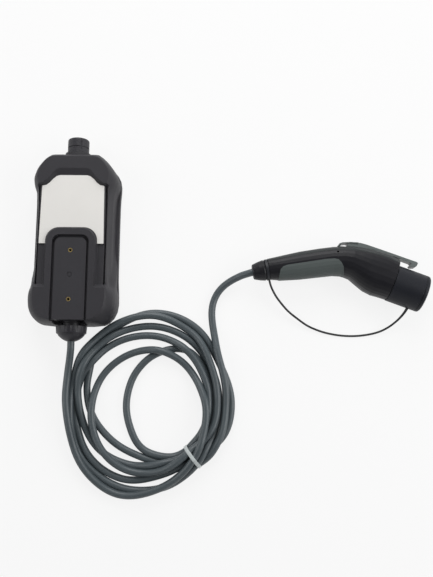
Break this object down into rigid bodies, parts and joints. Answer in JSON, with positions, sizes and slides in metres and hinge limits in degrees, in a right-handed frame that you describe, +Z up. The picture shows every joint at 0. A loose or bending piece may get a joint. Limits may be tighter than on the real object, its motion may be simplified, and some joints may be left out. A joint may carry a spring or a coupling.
{
  "type": "portable ev charger",
  "caption": "Charging control box with supply inlet, coiled cable and hand-held vehicle connector with latch lever, dust cap and tether.",
  "frame": {"origin": "on the floor, under the middle of the control box with its gland and inlet", "axes": "+X from the box towards the connector, +Y from the cable gland to the supply inlet, +Z up, out of the back of the box, which lies on its face"},
  "size_m": [0.5296, 0.4772, 0.057],
  "materials": {
    "housing_black": "fine textured",
    "seal_black": "matt",
    "screw_steel": "plain",
    "insert_brass": "plain",
    "label_film": "satin",
    "window_clear": "clear",
    "guide_clear": "clear",
    "board_green": "solder mask",
    "relay_blue": "plain",
    "core_dark": "plain",
    "transformer_tan": "taped",
    "can_dark": "sleeved",
    "terminal_green": "plain",
    "gland_black": "plain",
    "pin_nickel": "plated",
    "cable_grey": "satin jacket",
    "tie_grey": "plain",
    "connector_black": "fine textured",
    "grip_grey": "soft touch",
    "lever_grey": "satin",
    "contact_silver": "plated",
    "lead_copper": "insulated",
    "cap_black": "matt"
  },
  "bodies": {
    "charger": {"front_housing": "housing_black", "back_housing": "housing_black", "housing_seal": "seal_black", "housing_screws": "screw_steel", "threaded_inserts": "insert_brass", "blank_label": "label_film", "indicator_window": "window_clear", "light_guides": "guide_clear", "main_board": "board_green", "relays": "relay_blue", "leakage_sensor": "core_dark", "supply_transformer": "transformer_tan", "capacitors": "can_dark", "output_terminals": "terminal_green", "input_terminals": "terminal_green", "gland_body": "gland_black", "gland_nut": "gland_black", "gland_seal": "seal_black", "gland_locknut": "gland_black", "inlet_shell": "gland_black", "inlet_insert": "gland_black", "inlet_pins": "pin_nickel", "inlet_gasket": "seal_black", "inlet_locknut": "gland_black", "cable_lead_in": "cable_grey", "cable_coil": "cable_grey", "coil_tie": "tie_grey", "cable_lead_out": "cable_grey", "rear_collar": "connector_black", "cable_clamp": "connector_black", "right_handle_shell": "connector_black", "left_handle_shell": "connector_black", "handle_spine": "connector_black", "grip_insert": "grip_grey", "handle_screws": "screw_steel", "lever_pin": "screw_steel", "lever_spring": "screw_steel", "latch_switch": "core_dark", "nose_barrel": "connector_black", "contact_block": "connector_black", "contacts": "contact_silver", "contact_leads": "lead_copper", "tether_ring": "cap_black", "cap_tether": "cap_black"},
    "lever": {"latch_lever": "lever_grey"},
    "cap": {"dust_cap": "cap_black"}
  },
  "joints": [
    {"name": "lever_hinge", "type": "hinge", "parent": "charger", "child": "lever", "pos_m": [0.3891, -0.01439, 0.0248], "axis": [0, 0, 1], "range_deg": [0, 5], "stiffness_Nm_per_rad": 0.8, "springref_deg": -1.72, "deforming": ["lever_spring"]},
    {"name": "cap_slide", "type": "slide", "parent": "charger", "child": "cap", "axis": [0.9397, -0.342, 0], "range_m": [0, 0.045]}
  ]
}
